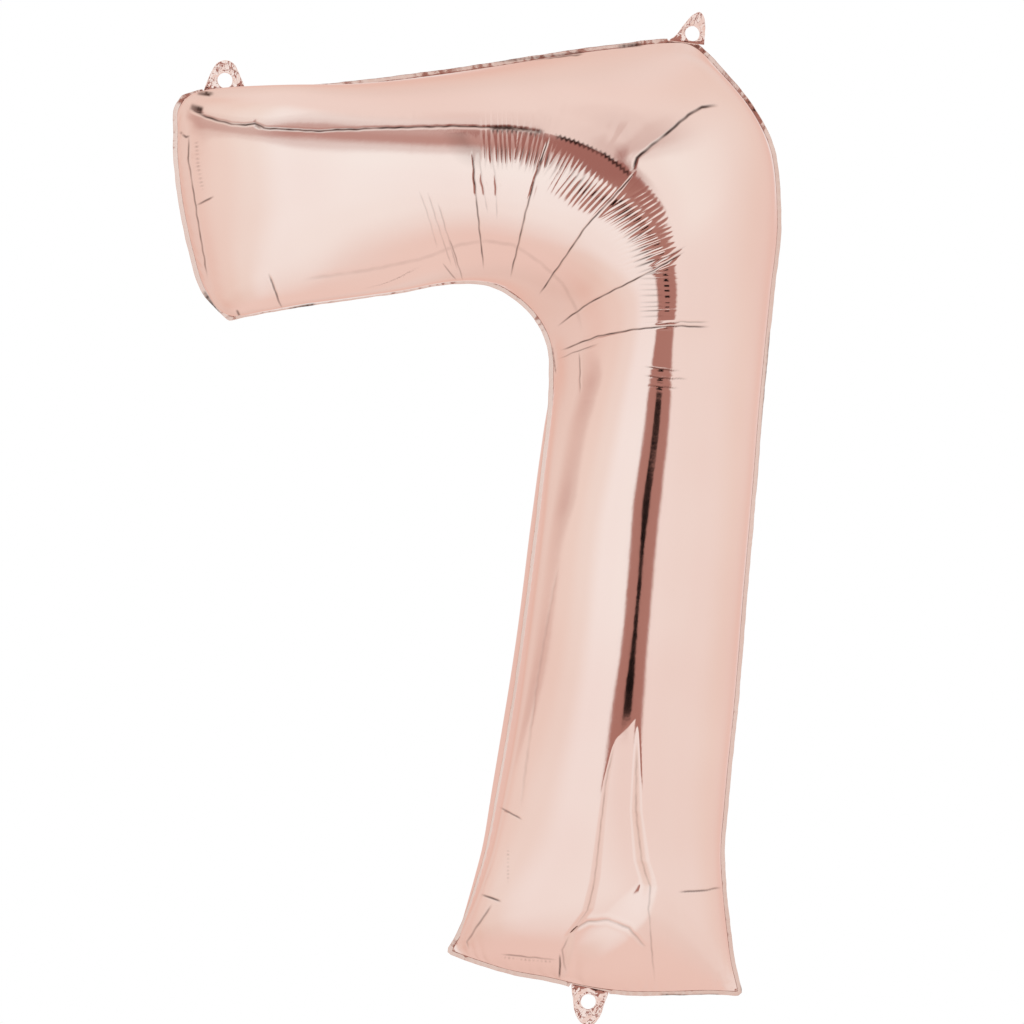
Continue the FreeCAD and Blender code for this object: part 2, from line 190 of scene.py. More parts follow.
def skin_grid():
    s, t = np.linspace(0, 1, NS), np.linspace(-1, 1, NT)
    c, d, a, b = curve_at(INNER, s), curve_at(OUTER, s), curve_at(FREE, t), curve_at(FOOT, t)
    c[0] = a[0] = 0.5 * (c[0] + a[0])
    d[0] = a[-1] = 0.5 * (d[0] + a[-1])
    c[-1] = b[0] = 0.5 * (c[-1] + b[0])
    d[-1] = b[-1] = 0.5 * (d[-1] + b[-1])
    w = np.clip(np.minimum(s, 1 - s) / 0.12, 0, 1)
    grow = 10 + 49 * w * w * (3 - 2 * w)
    across = (d - c) / np.linalg.norm(d - c, axis=1)[:, None]
    fc, fd = c - across * grow[:, None], d + across * grow[:, None]
    q = ((t + 1) / 2)[:, None]
    fa = a + (1 - q) * (fc[0] - a[0]) + q * (fd[0] - a[-1])
    fb = b + (1 - q) * (fc[-1] - b[0]) + q * (fd[-1] - b[-1])
    da, db = np.array([-1.0, -0.12]), np.array([-0.12, -1.0])
    da, db = da / np.linalg.norm(da), db / np.linalg.norm(db)
    e = 24 * (1 - 0.75 * t**2)[:, None]
    fa, fb = fa + da * e, fb + db * e
    we, wf = (np.clip(1 - s / 0.15, 0, 1) ** 2 * 6)[:, None], (np.clip(1 - (1 - s) / 0.15, 0, 1) ** 2 * 6)[:, None]
    fc, fd = fc + da * we + db * wf, fd + da * we + db * wf
    flat, held = lift(coons(fc, fd, fa, fb)), lift(coons(c, d, a, b))
    x = held.copy()
    x[..., 1] = -60 * (1 - t[None] ** 2) * np.clip(np.minimum(s, 1 - s)[:, None] * 8, 0, 1)
    seam = tuple(lift(v) for v in (a, b, c, d))
    x = inflate(flat, x, seam, held, 400, 3, 0.5, 0.93, 0.01)
    x = inflate(flat, x, seam, held, 400, 4, 0.25, 0.93, 0.01)
    for _ in range(3):
        y = x.copy()
        y[1:-1, 1:-1] = x[1:-1, 1:-1] + 0.12 * (x[2:, 1:-1] + x[:-2, 1:-1] + x[1:-1, 2:] + x[1:-1, :-2] - 4 * x[1:-1, 1:-1])
        x = y
    # pressure keeps the long leg even: local unevenness along it is drawn out
    q = ((t + 1) / 2)[None, :, None]
    chord = x[:, :1] * (1 - q) + x[:, -1:] * q
    dev = x - chord
    even = dev.copy()
    for _ in range(90):
        even[1:-1] = 0.25 * even[:-2] + 0.5 * even[1:-1] + 0.25 * even[2:]
    w = np.clip((s - 0.46) / 0.07, 0, 1) * np.clip((0.96 - s) / 0.12, 0, 1)
    w = (w * w * (3 - 2 * w))[:, None, None]
    x = chord + dev * (1 - w) + even * w
    # the crown of the tube runs nearer the outer corner than an even tube's would
    x[..., 0] += curve_at(CROWN, s) * (1 - t[None] ** 2)
    # the tube may only overhang its own weld by a little
    for j0, cols in ((0, range(1, 14)), (NT - 1, range(NT - 2, NT - 15, -1))):
        p = x[:, j0][:, [0, 2]]
        g = np.gradient(p, axis=0)
        n = np.stack([-g[:, 1], g[:, 0]], -1) / np.linalg.norm(g, axis=1)[:, None]
        n *= -np.sign((n * (x[:, NT // 2][:, [0, 2]] - p)).sum(1))[:, None]
        for j in cols:
            off = ((x[:, j][:, [0, 2]] - p) * n).sum(1)
            move = np.where(off > 0, 3.0 * np.tanh(off / 3.0) - off, 0.0)
            x[:, j, 0] += move * n[:, 0]
            x[:, j, 2] += move * n[:, 1]
    for _ in range(2):
        y = x.copy()
        y[1:-1, 1:-1] = x[1:-1, 1:-1] + 0.10 * (x[2:, 1:-1] + x[:-2, 1:-1] + x[1:-1, 2:] + x[1:-1, :-2] - 4 * x[1:-1, 1:-1])
        x = y
    return x


def spline_rows(x, at):
    """natural cubic spline through the rows of x, read at fractional row numbers"""
    n = len(x)
    a = np.zeros((n, n))
    a[0, 0] = a[-1, -1] = 1
    for i in range(1, n - 1):
        a[i, i - 1], a[i, i], a[i, i + 1] = 1, 4, 1
    r = np.zeros_like(x)
    r[1:-1] = 6 * (x[2:] - 2 * x[1:-1] + x[:-2])
    m = np.linalg.solve(a, r.reshape(n, -1)).reshape(x.shape)
    k = np.clip(at.astype(int), 0, n - 2)
    u = (at - k).reshape(-1, *([1] * (x.ndim - 1)))
    v = 1 - u
    return v * x[k] + u * x[k + 1] + ((v**3 - v) * m[k] + (u**3 - u) * m[k + 1]) / 6


def fine(x, at_s, at_t):
    y = spline_rows(x, at_s * (NS - 1))
    return np.swapaxes(spline_rows(np.swapaxes(y, 0, 1), (at_t + 1) / 2 * (NT - 1)), 0, 1)


def normals(g, side):
    ds = np.gradient(g, axis=0)
    dt = np.gradient(g, axis=1)
    n = np.cross(ds, dt)
    n /= np.linalg.norm(n, axis=-1, keepdims=True) + 1e-12
    flip = np.where((n[..., 1:2] * side) < 0, -1.0, 1.0)
    mid = n[n.shape[0] // 2, n.shape[1] // 2]
    return n * (1.0 if mid[1] * side > 0 else -1.0)


BASE = skin_grid()


def sample_stations():
    knots = [(0.0, 1.1), (0.20, 1.1), (0.24, 0.56), (0.47, 0.56), (0.51, 1.1), (0.85, 1.1), (1.0, 1.0)]
    s = [0.0]
    total = 1270.0
    while s[-1] < 1.0:
        step = np.interp(s[-1], [k[0] for k in knots], [k[1] for k in knots])
        s.append(s[-1] + step / total)
    s = np.array(s)
    s = s / s[-1]
    return s, np.linspace(-1, 1, 401)


# ------------------------------------------------------------------ creases and pleats
# Lines are (x, z) in mm as seen() gives them: where the line of sight meets the seam plane.
def line(*pts):
    return np.array(pts, float)


def near(ab, pts, reach):
    """distance, arc length and signed side of each point to a polyline; far points get reach"""
    shape = ab.shape[:-1]
    q = ab.reshape(-1, 2)
    dist = np.full(len(q), float(reach))
    arc = np.zeros(len(q))
    side = np.zeros(len(q))
    box = ((q > pts.min(0) - reach) & (q < pts.max(0) + reach)).all(1)
    idx = np.nonzero(box)[0]
    if len(idx):
        p = q[idx]
        best = np.full(len(idx), 1e9)
        ba, bs = np.zeros(len(idx)), np.zeros(len(idx))
        run = 0.0
        for a, b in zip(pts[:-1], pts[1:]):
            d = b - a
            ln = math.hypot(*d)
            u = np.clip(((p - a) @ d) / (ln * ln), 0, 1)
            r = p - a - u[:, None] * d
            dd = np.sqrt((r * r).sum(1))
            hit = dd < best
            cr = d[0] * (p[:, 1] - a[1]) - d[1] * (p[:, 0] - a[0])
            best = np.where(hit, dd, best)
            ba = np.where(hit, run + u * ln, ba)
            bs = np.where(hit, np.sign(cr), bs)
            run += ln
        dist[idx] = np.minimum(best, reach)
        arc[idx] = ba
        side[idx] = bs
    return dist.reshape(shape), arc.reshape(shape), side.reshape(shape)


def total(pts):
    return np.linalg.norm(np.diff(pts, axis=0), axis=1).sum()


def ends(arc, length, fade):
    return np.clip(np.minimum(arc, length - arc) / fade, 0, 1)


def smooth01(x):
    x = np.clip(x, 0, 1)
    return x * x * (3 - 2 * x)


def wiggle(x, seed):
    r = np.random.RandomState(seed)
    out = 0
    for k in range(5):
        out = out + r.uniform(0.4, 1) * np.sin(x * r.uniform(0.5, 2.2) * (1 + k * 0.7) + r.uniform(0, 6.28))
    return out / 2.2


# a crease: pts, depth, half width, fade at the ends (all mm), shoulder height, how dark the painted shade in it
# closes, half width of that painted shade, zigzag
CREASES = [
    (line((-348.0, 773.9), (-333.4, 767.2), (-311.8, 761.5), (-298.9, 760.8), (-291.1, 762.2), (-283.4, 758.4), (-239.2, 756.4), (-182.8, 759.7), (-115.5, 762.3), (-94.5, 761.7), (-69.9, 762.0), (-38.3, 758.1)), 0.40, 0.80, 20.0, 0.03, 1.00, 0.90, 0.00),
    (line((-91.0, 761.3), (-64.7, 761.2), (-37.4, 757.7)), 0.10, 1.40, 8.0, 0.00, 1.00, 2.10, 0.60),
    (line((-31.2, 755.6), (-5.7, 747.6), (14.7, 738.7), (31.5, 725.8), (38.6, 720.6)), 0.05, 1.10, 6.0, 0.00, 1.00, 1.70, 2.20),
    (line((35.0, 724.1), (40.3, 727.6), (43.0, 736.4), (51.9, 744.4), (72.3, 760.4), (88.3, 774.6), (100.7, 781.7), (116.7, 783.7)), 0.50, 0.90, 12.0, 0.02, 1.00, 1.35, 0.00),
    (line((-102.4, 744.2), (-98.0, 692.1), (-91.9, 636.6)), 0.30, 0.70, 14.0, 0.04, 0.90, 0.62, 0.00),
    (line((-33.9, 755.5), (-43.6, 729.3), (-54.1, 692.6), (-69.1, 629.8)), 0.45, 0.75, 12.0, 0.08, 0.90, 0.66, 0.00),
    (line((43.0, 725.9), (25.3, 705.6), (-1.2, 677.4), (-44.4, 615.2)), 0.50, 0.75, 12.0, 0.08, 0.95, 0.70, 0.00),
    (line((86.5, 655.5), (59.8, 639.6), (31.5, 625.3), (0.5, 609.4), (-28.6, 588.3)), 0.50, 0.75, 14.0, 0.08, 0.95, 0.70, 0.00),
    (line((109.6, 589.2), (74.0, 589.8), (43.0, 587.0), (8.5, 580.7), (-25.9, 567.4)), 0.50, 0.75, 14.0, 0.08, 0.95, 0.70, 0.00),
    (line((109.6, 593.5), (81.1, 593.4), (54.5, 590.6)), 0.35, 0.70, 12.0, 0.05, 0.45, 0.60, 0.00),
    (line((88.3, 660.8), (70.5, 651.0), (52.7, 640.4)), 0.35, 0.70, 12.0, 0.05, 0.45, 0.60, 0.00),
    (line((10.2, 574.6), (-11.8, 566.6), (-28.6, 559.5)), 0.30, 0.70, 12.0, 0.05, 0.50, 0.60, 0.00),
    (line((47.4, 554.7), (63.4, 552.1), (82.9, 550.5)), 0.25, 0.80, 10.0, 0.05, 0.60, 0.60, 0.00),
    (line((47.4, 546.8), (63.4, 544.3), (90.0, 543.5)), 0.25, 0.80, 10.0, 0.05, 0.60, 0.60, 0.00),
    (line((49.2, 538.1), (65.2, 536.4), (82.0, 535.6)), 0.20, 0.80, 10.0, 0.05, 0.50, 0.60, 0.00),
    (line((-8.3, 569.2), (-7.4, 547.4), (-7.4, 529.1)), 0.20, 0.80, 10.0, 0.05, 0.50, 0.60, 0.00),
    (line((-252.2, 627.5), (-192.3, 636.6), (-147.0, 646.5), (-111.2, 659.9), (-90.1, 662.7), (-65.5, 659.4), (-41.8, 643.9), (-23.3, 626.7), (-10.9, 605.0), (-4.8, 581.5)), 0.05, 2.00, 20.0, 0.05, 0.13, 1.60, 0.00),
    (line((-149.6, 708.1), (-140.9, 684.8), (-132.2, 654.5)), 0.12, 0.90, 10.0, 0.03, 0.22, 0.60, 0.00),
    (line((-141.8, 706.4), (-132.2, 676.2), (-119.9, 639.0)), 0.14, 0.90, 10.0, 0.03, 0.26, 0.60, 0.00),
    (line((-133.0, 697.9), (-122.5, 663.2), (-114.7, 635.5)), 0.12, 0.90, 10.0, 0.03, 0.30, 0.60, 0.00),
    (line((-123.4, 667.6), (-116.4, 647.7), (-109.4, 625.1)), 0.14, 0.90, 8.0, 0.03, 0.50, 0.60, 0.00),
    (line((-128.7, 644.1), (-121.7, 634.6), (-115.5, 627.7)), 0.14, 0.90, 5.0, 0.03, 0.50, 0.60, 0.00),
    (line((-97.1, 741.7), (-93.6, 715.7), (-88.4, 685.3)), 0.12, 0.90, 10.0, 0.03, 0.30, 0.60, 0.00),
    (line((-86.6, 741.8), (-81.3, 715.8), (-80.5, 679.3)), 0.12, 0.90, 10.0, 0.03, 0.25, 0.60, 0.00),
    (line((-348.0, 754.1), (-348.9, 732.6), (-342.8, 693.1), (-337.7, 660.4), (-331.7, 626.9)), 0.40, 0.90, 15.0, 0.08, 0.70, 0.70, 0.00),
    (line((-355.7, 753.2), (-350.6, 749.8), (-346.3, 750.7)), 0.60, 0.80, 5.0, 0.05, 1.00, 1.00, 0.00),
    (line((-342.8, 690.5), (-334.2, 694.9), (-325.6, 699.3)), 0.40, 0.80, 6.0, 0.05, 0.80, 0.70, 0.00),
    (line((-336.0, 619.1), (-328.2, 605.4), (-317.0, 591.7)), 0.60, 0.90, 6.0, 0.05, 1.00, 1.10, 0.00),
    (line((-307.5, 602.1), (-304.9, 596.9), (-303.2, 590.9)), 0.60, 0.90, 3.0, 0.05, 1.00, 1.00, 0.00),
    (line((-279.9, 634.2), (-273.9, 617.8), (-266.9, 600.6)), 0.40, 0.80, 8.0, 0.08, 0.80, 0.70, 0.00),
    (line((-263.5, 602.4), (-250.5, 605.1), (-237.5, 607.3)), 0.60, 0.80, 6.0, 0.05, 1.00, 0.90, 0.00),
    (line((-348.0, 774.8), (-341.1, 771.4), (-334.2, 769.8)), 0.70, 1.20, 5.0, 0.10, 1.00, 1.00, 0.00),
    (line((-291.1, 766.9), (-290.3, 760.0), (-285.1, 756.6)), 0.40, 0.80, 4.0, 0.05, 0.60, 0.70, 0.00),
    (line((-348.0, 776.5), (-335.1, 772.4)), 0.30, 2.00, 3.0, 0.00, 1.00, 2.80, 0.00),
    (line((-342.0, 787.8), (-328.2, 786.2)), 0.30, 1.20, 3.0, 0.00, 1.00, 1.50, 0.00),
    (line((165.8, 759.8), (173.0, 736.2), (173.9, 713.4)), 0.30, 1.20, 8.0, 0.00, 1.00, 1.50, 0.00),
    (line((104.3, 835.2), (123.9, 812.7), (141.7, 792.0)), 0.30, 1.00, 8.0, 0.00, 0.80, 0.90, 0.00),
    (line((-82.2, 816.6), (-42.7, 821.6), (-3.0, 826.6)), 0.20, 1.00, 8.0, 0.00, 0.85, 0.80, 0.00),
    (line((24.4, 832.2), (49.2, 835.2)), 0.20, 1.00, 5.0, 0.00, 0.85, 0.90, 0.00),
    (line((139.0, 27.2), (135.5, 12.4), (138.1, 2.7)), 0.40, 1.20, 5.0, 0.00, 1.00, 1.20, 0.00),
    (line((-25.9, 385.3), (-35.6, 333.0), (-44.4, 282.5), (-53.2, 219.9), (-60.3, 163.4)), 0.15, 1.60, 30.0, 0.03, 0.14, 1.30, 0.00),
    (line((161.4, 586.8), (156.0, 525.4), (149.8, 437.6), (143.5, 349.9), (136.4, 262.2)), 0.10, 1.00, 40.0, 0.00, 0.45, 0.70, 0.00),
    (line((-79.6, 171.4), (-69.1, 165.2), (-57.6, 159.0)), 0.40, 0.80, 6.0, 0.08, 0.70, 0.70, 0.00),
    (line((-95.4, 95.1), (-85.7, 91.5), (-76.1, 87.9)), 0.50, 0.80, 5.0, 0.08, 0.90, 0.80, 0.00),
    (line((-84.0, 87.1), (-95.4, 70.8), (-106.8, 53.6), (-105.0, 46.6)), 0.40, 0.90, 8.0, 0.08, 0.60, 0.80, 0.00),
    (line((-79.6, 42.7), (-53.2, 39.7), (-26.8, 36.7)), 0.30, 0.80, 12.0, 0.05, 0.50, 0.70, 0.00),
    (line((-25.1, 42.8), (-25.1, 31.5), (-25.9, 20.2)), 0.50, 0.80, 5.0, 0.08, 0.90, 0.80, 0.00),
    (line((78.5, 94.6), (98.9, 95.2), (120.3, 98.5)), 0.50, 0.80, 8.0, 0.08, 0.80, 0.75, 0.00),
    (line((62.5, 3.9), (90.0, 3.4), (117.6, 3.0)), 0.60, 0.90, 8.0, 0.05, 1.00, 1.10, 0.00),
    (line((131.0, 29.1), (133.7, 16.8), (136.4, 3.6)), 0.70, 1.20, 6.0, 0.08, 0.90, 1.00, 0.00),
    (line((23.5, 226.3), (15.6, 191.4), (11.1, 153.1), (5.8, 106.0), (-0.4, 78.2), (-16.2, 57.5)), 0.12, 1.20, 25.0, 0.00, 0.32, 0.80, 0.00),
    (line((43.0, 226.1), (43.0, 165.0), (48.3, 121.2), (55.4, 99.3), (53.6, 80.1), (55.4, 53.0), (58.9, 12.7)), 0.12, 1.20, 25.0, 0.00, 0.30, 0.80, 0.00),
    (line((-16.2, 57.5), (-0.4, 66.0), (18.2, 67.5), (35.9, 62.9), (51.9, 46.0)), 0.50, 1.20, 8.0, 0.30, 0.30, 1.00, 0.00),
    (line((-16.2, 57.5), (-23.3, 45.4), (-19.8, 23.5)), 0.30, 1.00, 8.0, 0.10, 0.35, 0.80, 0.00),
]
# a fold line between two facets: pts, height, reach on the left of travel, reach on the right
STEPS = [
    (line((-49.7, 759.7), (-32.1, 756.4), (-5.7, 748.5), (14.7, 739.6), (29.7, 728.4)), 2.60, 12.0, 0.0),
]
# painted shade along the weld, where the rim folds under: pts, half width, how dark
EDGES = [
    (line((62.5, 3.9), (90.0, 2.6), (117.6, 3.0)), 2.00, 1.00),
    (line((-82.2, 818.4), (-42.7, 823.3), (-3.0, 828.3)), 1.00, 0.55),
    (line((24.4, 833.1), (49.2, 836.1)), 1.60, 0.90),
    (line((104.3, 837.0), (123.9, 814.5), (141.7, 792.8)), 1.30, 0.85),
    (line((166.7, 760.7), (174.8, 736.2), (175.7, 713.4)), 2.20, 1.00),
    (line((-347.1, 776.5), (-335.1, 772.4)), 2.60, 1.00),
    (line((-340.3, 788.7), (-325.6, 787.1)), 1.60, 1.00),
    (line((-357.5, 754.0), (-352.3, 752.3)), 1.20, 1.00),
    (line((-336.0, 618.2), (-328.2, 605.4), (-317.0, 590.8)), 1.60, 1.00),
    (line((-263.5, 601.5), (-250.5, 604.2), (-237.5, 606.9)), 1.40, 1.00),
    (line((139.0, 27.2), (136.4, 12.3), (138.1, 2.7)), 1.40, 0.90),
    (line((161.4, 586.8), (156.0, 525.4), (149.8, 437.6), (145.3, 385.0)), 0.90, 0.55),
    (line((-32.1, 572.6), (-28.6, 546.5)), 0.80, 0.50),
]
FUNNEL = (line((23.2, 228.9), (44.8, 249.7)),
          line((23.2, 228.9), (15.6, 191.4), (11.1, 153.1), (5.8, 106.0), (-0.4, 78.2), (-16.2, 57.5), (-19.8, 1.8)),
          line((43.0, 249.7), (43.0, 165.0), (48.3, 121.2), (55.4, 99.3), (53.6, 80.1), (55.4, 53.0), (58.9, 12.7), (65.2, 0.4)))
BAND = line((-95.4, 756.9), (-62.0, 757.3), (-28.6, 749.5), (-6.5, 736.7), (13.8, 720.3), (32.4, 703.1), (52.7, 670.1), (65.2, 637.0), (66.9, 586.3))
ROOF = line((-94.5, 761.7), (-69.9, 762.0), (-40.0, 758.1), (-27.7, 755.2), (-5.7, 748.5), (14.7, 739.6), (31.5, 726.7), (35.0, 724.1))
# ticks of small pleats that cross a path, with painted shade between them: path, pitch, half length, amplitude, fade,
# how dark
TICKS = [
    (line((-89.2, 759.2), (-62.0, 758.6), (-35.6, 754.6)), 4.15, 2.6, 0.00, 6.0, 0.90),
    (line((-342.0, 749.0), (-340.3, 725.8), (-336.0, 703.5)), 3.40, 1.6, 0.03, 6.0, 0.30),
    (line((-234.9, 607.8), (-187.1, 614.2), (-137.4, 622.3)), 4.40, 0.9, 0.03, 10.0, 0.45),
    (line((-77.8, 40.1), (-53.2, 37.1), (-28.6, 35.0)), 3.60, 1.0, 0.03, 6.0, 0.25),
    (line((-70.8, 136.6), (-70.8, 101.8)), 3.40, 1.0, 0.02, 6.0, 0.25),
    (line((-334.2, 616.5), (-326.5, 602.8), (-316.2, 590.8)), 4.00, 1.2, 0.03, 6.0, 0.60),
]


def relief(grid, seed):
    """height in mm to add along the outward normal, and the painted shade that darkens the film's colour in each
    crease, pleat valley and tick
    """
    ab = seen(grid)
    h = np.zeros(grid.shape[:-1])
    painted_shade = np.zeros(grid.shape[:-1])
    for pts, depth, width, fade, shoulder, shade_strength, thick, zig in CREASES:
        reach = width * 5 + 8
        d, a, sd = near(ab, pts, reach)
        w = ends(a, total(pts), fade) * (d < reach)
        w = w * w * (3 - 2 * w)
        off = np.abs(d * sd + 0.30 * wiggle(a / 9.0, seed) + zig * (np.abs((a / 2.1) % 2 - 1) - 0.5))
        h += w * (-depth * np.exp(-off / width) + shoulder * np.exp(-((off - 2.6 * width) / (1.8 * width)) ** 2))
        painted_shade = np.maximum(painted_shade, w * np.exp(-(off / thick) ** 3) * shade_strength * (0.8 + 0.2 * wiggle(a / 14.0, seed + 1)))
    for pts, height, left, right in STEPS:
        reach = max(left, right) * 4
        d, a, sd = near(ab, pts, reach)
        r = np.where(sd > 0, left, right)
        w = smooth01(ends(a, total(pts), 25)) * smooth01((reach - d) / (0.6 * reach))
        h -= height * (1 - np.exp(-d / np.maximum(r, 0.1))) * w * (r > 0)
    # accordion pleats round the corner: puffed lobes with sharp valleys between them
    d, a, sd = near(ab, BAND, 60.0)
    d = d * sd                       # positive towards the outer corner
    ln = total(BAND)
    inside = (np.abs(d) < 59.9)
    pitch = 4.6
    phase = math.pi * (a + 0.9 * wiggle(a / 9.0, 3) + 0.02 * d * np.sin(a / 13.0)) / pitch
    amp = np.interp(a, [0, 8, 60, 70, 78, 138, 150, 205, 222, 236, 262, ln - 4, ln],
                    [0.3, 1, 1, .55, .8, .9, 1.4, 1.7, 1.0, .5, .6, .3, 0])
    e = -d
    low = np.interp(e, [0, 3, 10, 20, 27, 34], [.35, .45, .6, 1, .7, 0])          # under the bar's crease
    mid = np.interp(e, [-2, 2, 12, 22, 30, 44], [0, .35, .55, 1, .6, 0])          # round the bend, inner side only
    both = np.interp(e, [-24, -14, -6, 0, 6, 16, 26, 36], [0, .7, 1, .75, .9, 1, .5, 0])
    k1, k2 = smooth01((a - 62) / 10.0), smooth01((a - 138) / 14.0)
    k3 = smooth01((a - 205) / 10.0)
    last = np.interp(e, [-20, -10, 0, 10, 20], [0, .8, .8, .8, 0])
    prof = (low * (1 - k1) + mid * k1) * (1 - k2) + (both * (1 - k3) + last * k3) * k2
    r1 = 0.72 + 0.28 * wiggle(a / 4.6, 5)
    lobe = np.abs(np.sin(phase))
    h += inside * 0.30 * amp * prof * r1 * (lobe - 0.6)
    # the valleys close up to thin dark spikes near the inner ends of the pleats: painted shade in the valleys
    tip = np.interp(e, [8, 16, 24, 33], [0, 1, .55, 0]) * (1 - k2) + np.interp(e, [-1, 6, 14, 22], [0, 1, .6, 0]) * k2
    tip = tip * inside * np.clip(amp, 0, 1) * (0.55 + 0.45 * wiggle(a / 6.1, 15)) * smooth01((ln - a) / 20)
    painted_shade = np.maximum(painted_shade, np.clip(tip, 0, 1) * np.exp(-(lobe / 0.42) ** 2) * 1.2)
    # small pleat ticks, such as the zigzag dark edge under the roof: bumps with painted shade in every pitch
    for pts, pitch, half, height, fade, shade_strength in TICKS:
        d, a, sd = near(ab, pts, half * 2.2)
        w = np.exp(-(d / half) ** 2 * 1.2) * ends(a, total(pts), fade) * (d < half * 2.19)
        h += height * w * np.sin(2 * math.pi * (a + 0.3 * wiggle(a / 7, 9)) / pitch)
        shade_strength_ = shade_strength * (0.65 + 0.35 * wiggle(a / 5.3, 27))
        painted_shade = np.maximum(painted_shade, shade_strength_ * w * smooth01(0.5 + 0.9 * np.sin(2 * math.pi * (a + 0.3 * wiggle(a / 7, 9)) / pitch)))
    # where the film runs together towards the foot it drops back between two soft folds
    top, side_l, side_r = FUNNEL
    cut = (ab[..., 0] - top[0, 0]) * (top[1, 1] - top[0, 1]) - (ab[..., 1] - top[0, 1]) * (top[1, 0] - top[0, 0])
    cut /= total(top)                # mm below the upper edge
    xl = np.interp(-ab[..., 1], -side_l[:, 1], side_l[:, 0])
    xr = np.interp(-ab[..., 1], -side_r[:, 1], side_r[:, 0])
    wide = 3.0 + np.clip(cut, 0, 150) * 0.09
    m = smooth01((ab[..., 0] - xl) / wide + 0.5) * smooth01((xr - ab[..., 0]) / (wide * 1.3) + 0.5)
    c = np.clip(cut, 0, 95)
    h -= m * 0.15 * (c - c * c / 190) * (1 - smooth01((cut - 106) / 30.0))
    return h, painted_shade


def painted_rim_shade(ab):
    """painted shade darkening the stretches of weld where the rim folds under"""
    painted_shade = np.zeros(ab.shape[:-1])
    for pts, half, shade_strength in EDGES:
        d, a, sd = near(ab, pts, half * 4)
        w = smooth01(ends(a, total(pts), 5.0)) * (d < half * 3.99)
        painted_shade = np.maximum(painted_shade, w * np.exp(-(d / half) ** 4) * shade_strength * (0.75 + 0.35 * wiggle(a / 4.0, 33)))
    return np.clip(painted_shade, 0, 1)


def seam_puckers(grid, s, t, seed):
    """short gathers where the film is drawn together along the weld"""
    ns, nt = grid.shape[:2]
    r = np.random.RandomState(seed)
    h = np.zeros((ns, nt))
    for edge in ("inner", "outer", "free", "foot"):
        if edge in ("inner", "outer"):
            j = 0 if edge == "inner" else nt - 1
            p = grid[:, j]
            run = np.concatenate([[0], np.cumsum(np.linalg.norm(np.diff(p, axis=0), axis=1))])
            off = np.linalg.norm(grid - p[:, None], axis=-1)
            run2 = run[:, None] + 0 * off
            q = np.minimum(run2, run[-1] - run2)
        else:
            i = 0 if edge == "free" else ns - 1
            p = grid[i]
            run = np.concatenate([[0], np.cumsum(np.linalg.norm(np.diff(p, axis=0), axis=1))])
            off = np.linalg.norm(grid - p[None], axis=-1)
            run2 = run[None] + 0 * off
        lam = {"inner": 9.0, "outer": 10.0, "free": 12.0, "foot": 12.0}[edge]
        height = {"inner": 0.35, "outer": 0.30, "free": 0.55, "foot": 0.55}[edge]
        deep = {"inner": 9.0, "outer": 8.0, "free": 12.0, "foot": 14.0}[edge]
        x = run2 / lam + 0.35 * wiggle(run2 / 40.0, r.randint(999))
        w = 0.55 + 0.45 * wiggle(run2 / 23.0, r.randint(999))
        h += height * w * np.sin(2 * math.pi * x) * np.exp(-off / deep) * (1 - np.exp(-off / 2.0))
    return h


# ------------------------------------------------------------------ mesh helpers
def mesh_object(name, verts, faces, smooth=True):
    me = bpy.data.meshes.new(name)
    me.from_pydata([tuple(v) for v in verts], [], faces) if len(faces) < 2000 else grid_mesh(me, verts, faces)
    me.validate()
    me.update()
    if smooth:
        me.polygons.foreach_set("use_smooth", np.ones(len(me.polygons), dtype=bool))
    ob = bpy.data.objects.new(name, me)
    scene.collection.objects.link(ob)
    return ob


def grid_mesh(me, verts, faces):
    verts, faces = np.asarray(verts, np.float32), np.asarray(faces, np.int32)
    n = faces.shape[1]
    me.vertices.add(len(verts))
    me.vertices.foreach_set("co", verts.ravel())
    me.loops.add(faces.size)
    me.loops.foreach_set("vertex_index", faces.ravel())
    me.polygons.add(len(faces))
    me.polygons.foreach_set("loop_start", np.arange(0, faces.size, n, dtype=np.int32))
    me.update(calc_edges=True)


def quads(ns, nt, flip=False):
    i = np.arange((ns - 1) * nt).reshape(ns - 1, nt)[:, :-1].ravel()
    q = np.stack([i, i + 1, i + nt + 1, i + nt], -1)
    return q[:, ::-1] if flip else q


# ------------------------------------------------------------------ panels
S, T = sample_stations()
FRONT = fine(BASE, S, T)
N_FRONT = normals(FRONT, -1)
ns, nt = FRONT.shape[:2]
rim = np.linalg.norm(FRONT - FRONT[:, :1], axis=-1)
rim = np.minimum(rim, np.linalg.norm(FRONT - FRONT[:, -1:], axis=-1))
rim = np.minimum(rim, np.linalg.norm(FRONT - FRONT[:1], axis=-1))
rim = np.minimum(rim, np.linalg.norm(FRONT - FRONT[-1:], axis=-1))
hold = smooth01(rim / 6.0)                      # nothing moves on the weld itself
# painted shade: the dark lines in creases, pleat valleys, ticks and along the folded-under rim are kept as a point
# attribute that darkens the base colour
rel, painted_fold_shade = relief(FRONT, 7)
painted_fold_shade = np.maximum(painted_fold_shade, painted_rim_shade(seen(FRONT)))
puck = seam_puckers(FRONT, S, T, 21)
front = FRONT + N_FRONT * ((rel + puck) * hold)[..., None]
np.minimum(front[..., 1], 0.0, out=front[..., 1])
back = front * np.array([1, -1, 1])
back = back[::2, ::2] if ns % 2 and nt % 2 else back[:, ::2]
p_front = mesh_object("panel_front_skin", front.reshape(-1, 3) * MM, quads(ns, nt))
p_back = mesh_object("panel_back_skin", back.reshape(-1, 3) * MM, quads(back.shape[0], back.shape[1], True))
painted_fold_shade_b = painted_fold_shade if back.shape[:2] == painted_fold_shade.shape else (painted_fold_shade[::2, ::2] if back.shape[0] != painted_fold_shade.shape[0] else painted_fold_shade[:, ::2])
